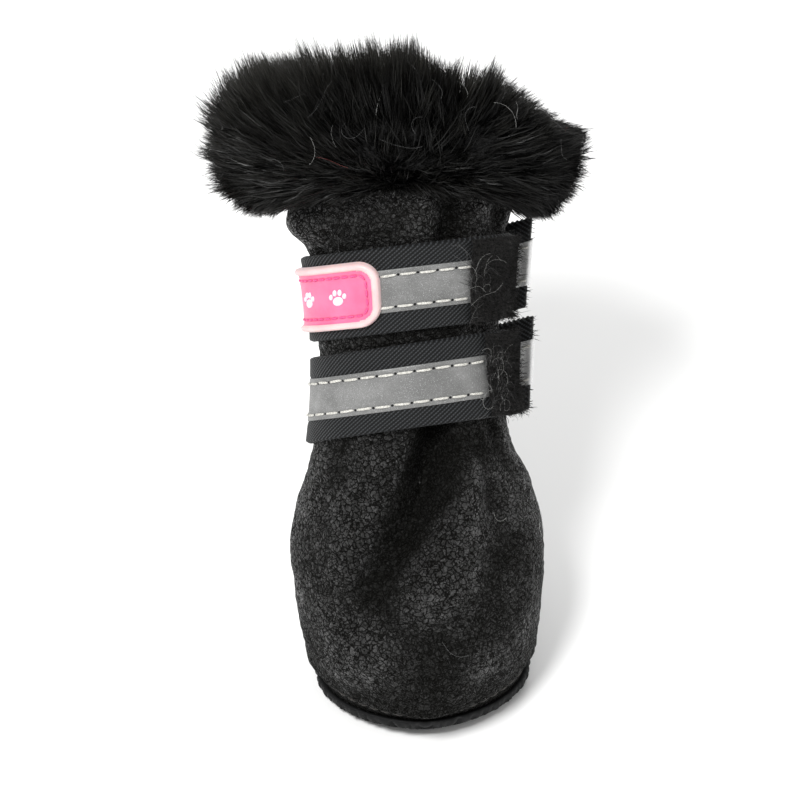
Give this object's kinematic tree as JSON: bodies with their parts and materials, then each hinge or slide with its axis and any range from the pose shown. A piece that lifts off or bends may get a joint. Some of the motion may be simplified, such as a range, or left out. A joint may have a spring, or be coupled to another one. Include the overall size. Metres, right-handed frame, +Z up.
{
  "type": "dog winter boot",
  "caption": "Soft fur-topped winter boot for a dog's paw, with a leather-look pouch, thin rubber sole, slack shaft and two touch-close straps.",
  "frame": {"origin": "under the sole, on its flat underside, halfway along its length and on its middle line", "axes": "+Z up, away from the floor; toe towards -Y, heel towards +Y; +X towards the straps' free tabs"},
  "size_m": [0.0812, 0.1068, 0.1423],
  "materials": {
    "sole_rubber": "matt black rubber with a basket-weave tread",
    "fleece": "short black fleece",
    "crackled_leather": "black crackled leather with satin tops and matt cracks",
    "fur": "long black pile",
    "webbing": "black twill binding",
    "loop_pile": "black loop pile",
    "hook_tape": "black nylon hooks",
    "badge_plastic": "soft pink plastic with a pale raised rim"
  },
  "bodies": {
    "root": {"outsole": "sole_rubber", "insole": "fleece", "upper": "crackled_leather", "fur_collar": "fur", "strap_lower": "webbing", "strap_upper": "webbing", "loop_pad_lower": "loop_pile", "loop_pad_upper": "loop_pile", "hook_pad_lower": "hook_tape", "hook_pad_upper": "hook_tape", "badge": "badge_plastic"}
  },
  "joints": []
}
